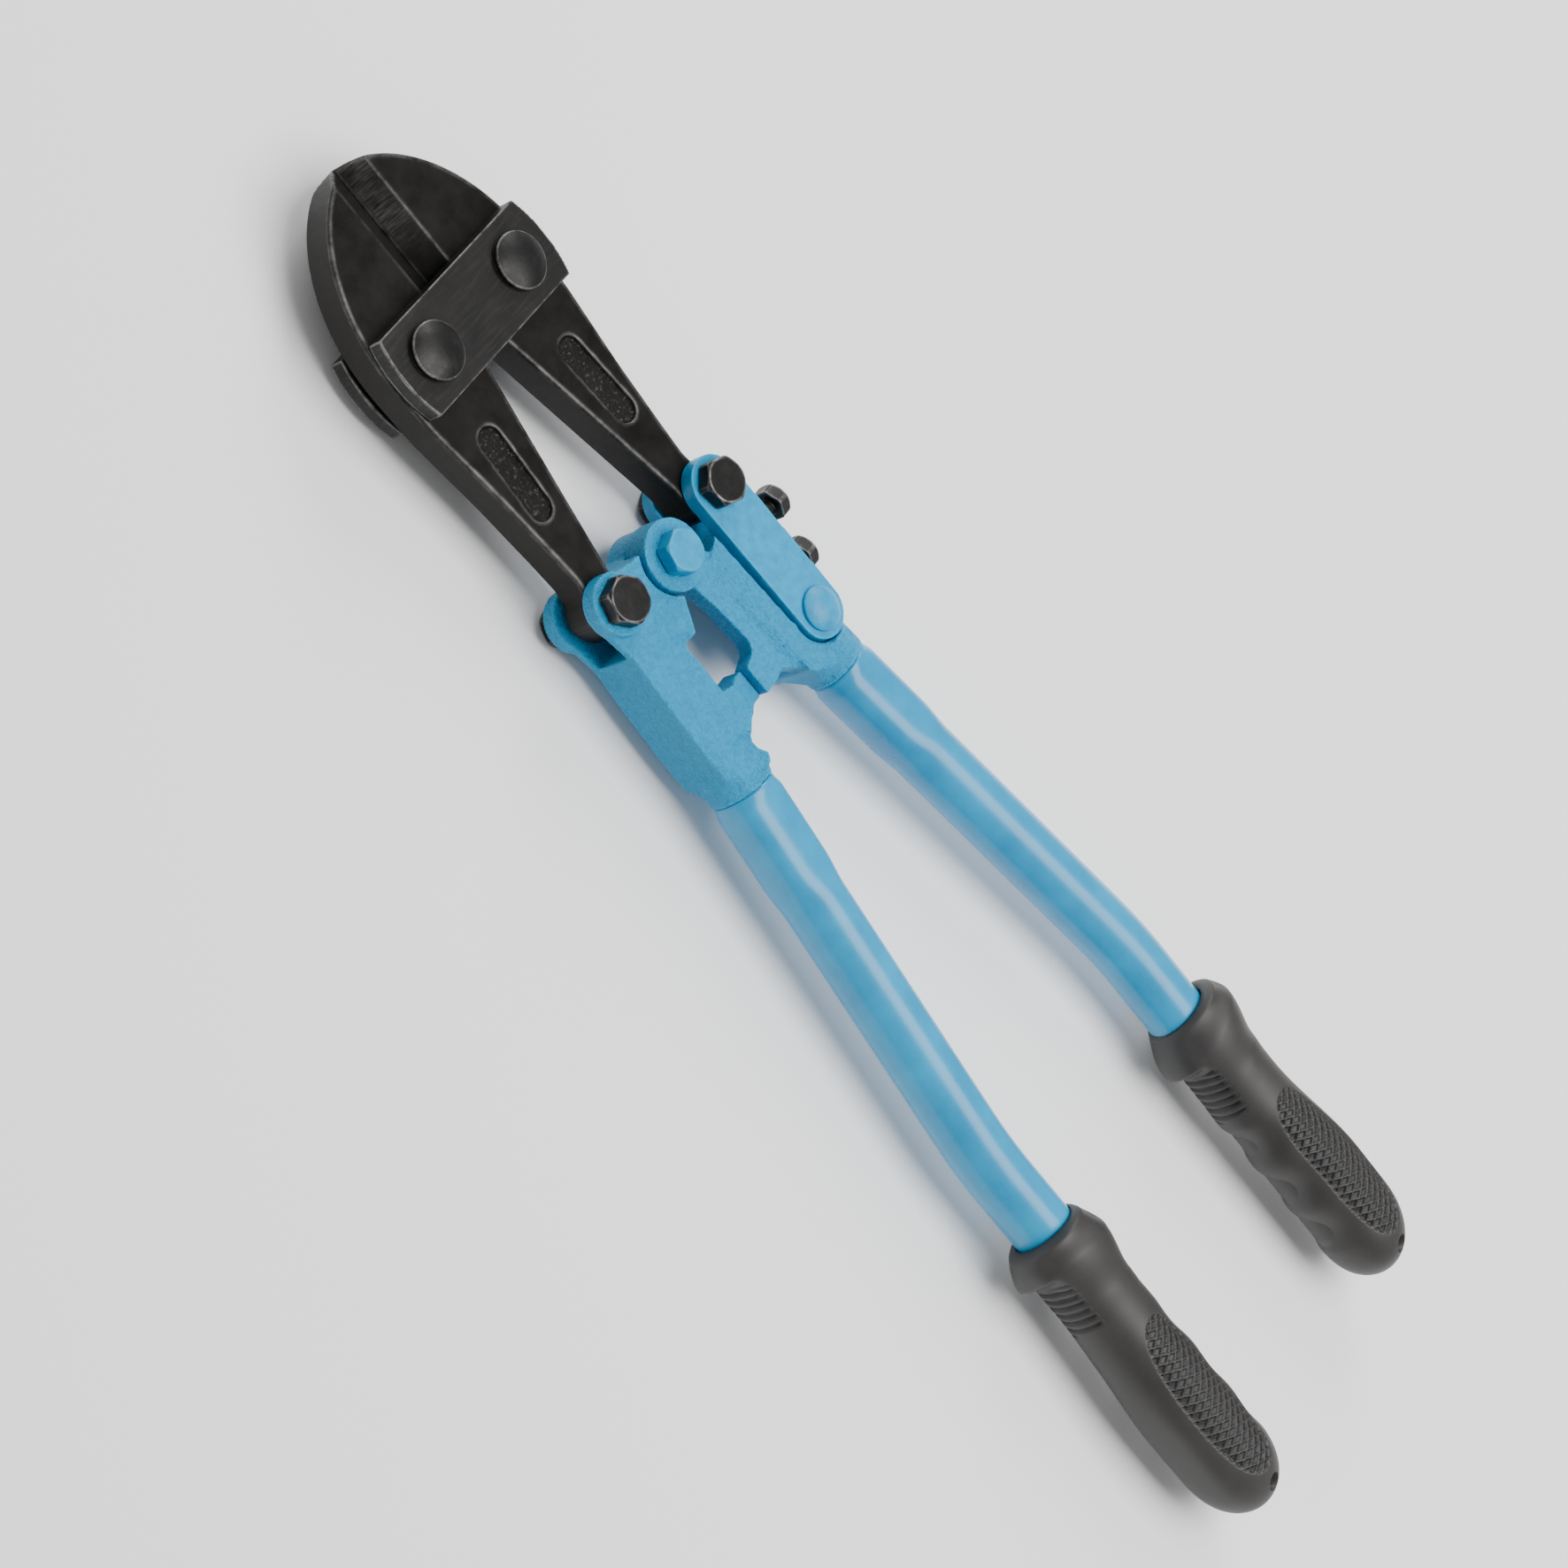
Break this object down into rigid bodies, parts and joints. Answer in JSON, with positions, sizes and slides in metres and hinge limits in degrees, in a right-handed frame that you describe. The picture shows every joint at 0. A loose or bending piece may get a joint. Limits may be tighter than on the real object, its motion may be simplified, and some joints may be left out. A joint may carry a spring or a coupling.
{
  "type": "bolt cutters",
  "caption": "Long-handled compound-action bolt cutters: forged shearing jaws linked by strap plates to splayed tube handles, with an adjusting link and moulded grips.",
  "frame": {"origin": "centre of the overall box at its underside: the faces of the nuts on the back, which the tool rests on when it lies flat", "axes": "+Y towards the blade tip, +Z out of the front face, +X towards the handle that carries the adjusting link"},
  "size_m": [0.1238, 0.4654, 0.0339],
  "materials": {
    "forged_steel": "black oxide over forged steel, ground bright-grey along the blades",
    "strap_steel": "satin black oxide",
    "fastener_steel": "satin black oxide",
    "blue_cast_paint": "light blue powder paint over cast steel",
    "blue_tube_paint": "smooth light blue powder paint",
    "grip_rubber": "matt moulded rubber"
  },
  "bodies": {
    "left_handle": {"left_handle_head": "blue_cast_paint", "left_jaw_bolt": "fastener_steel", "left_jaw_nut": "fastener_steel", "centre_bolt": "blue_cast_paint", "centre_nut": "blue_cast_paint", "left_tube": "blue_tube_paint", "left_grip": "grip_rubber"},
    "right_handle": {"right_handle_head": "blue_cast_paint", "right_tube": "blue_tube_paint", "right_grip": "grip_rubber"},
    "link": {"link_plate_front": "blue_cast_paint", "link_plate_back": "blue_cast_paint", "link_spacer": "blue_cast_paint", "link_rivet": "blue_cast_paint", "right_jaw_bolt": "fastener_steel", "right_jaw_nut": "fastener_steel", "screw_lock_nuts": "fastener_steel"},
    "front_screw": {"front_adjusting_screw": "fastener_steel"},
    "rear_screw": {"rear_adjusting_screw": "fastener_steel"},
    "left_jaw": {"left_jaw": "forged_steel"},
    "strap_plates": {"front_plate": "strap_steel", "back_plate": "strap_steel", "plate_bolts": "fastener_steel", "plate_nuts": "fastener_steel"},
    "right_jaw": {"right_jaw": "forged_steel"}
  },
  "joints": [
    {"name": "handle_open", "type": "hinge", "parent": "left_handle", "child": "right_handle", "pos_m": [0, 0.09603, 0.016], "axis": [0, 0, 1], "range_deg": [0, 100]},
    {"name": "link_adjust", "type": "hinge", "parent": "right_handle", "child": "link", "pos_m": [0.0272, 0.05304, 0.016], "axis": [0, 0, -1], "range_deg": [0, 0.4]},
    {"name": "front_screw_turn", "type": "hinge", "parent": "link", "child": "front_screw", "pos_m": [0.046, 0.07983, 0.016], "axis": [1, 0, 0], "range_deg": [-90, 90]},
    {"name": "rear_screw_turn", "type": "hinge", "parent": "link", "child": "rear_screw", "pos_m": [0.042, 0.06353, 0.016], "axis": [1, 0, 0], "range_deg": [-90, 90]},
    {"name": "left_jaw_swing", "type": "hinge", "parent": "left_handle", "child": "left_jaw", "pos_m": [-0.0261, 0.09983, 0.016], "axis": [0, 0, 1], "range_deg": [0, 58]},
    {"name": "plate_swing", "type": "hinge", "parent": "left_jaw", "child": "strap_plates", "pos_m": [-0.0204, 0.18273, 0.016], "axis": [0, 0, 1], "range_deg": [-8, 0]},
    {"name": "right_jaw_swing", "type": "hinge", "parent": "link", "child": "right_jaw", "pos_m": [0.0261, 0.09983, 0.016], "axis": [0, 0, 1], "range_deg": [-58, 0]}
  ],
  "couplings": [
    {"joint": "left_jaw_swing", "follows": "handle_open", "ratio": 0.575},
    {"joint": "plate_swing", "follows": "handle_open", "ratio": -0.075},
    {"joint": "right_jaw_swing", "follows": "handle_open", "ratio": -0.575}
  ]
}
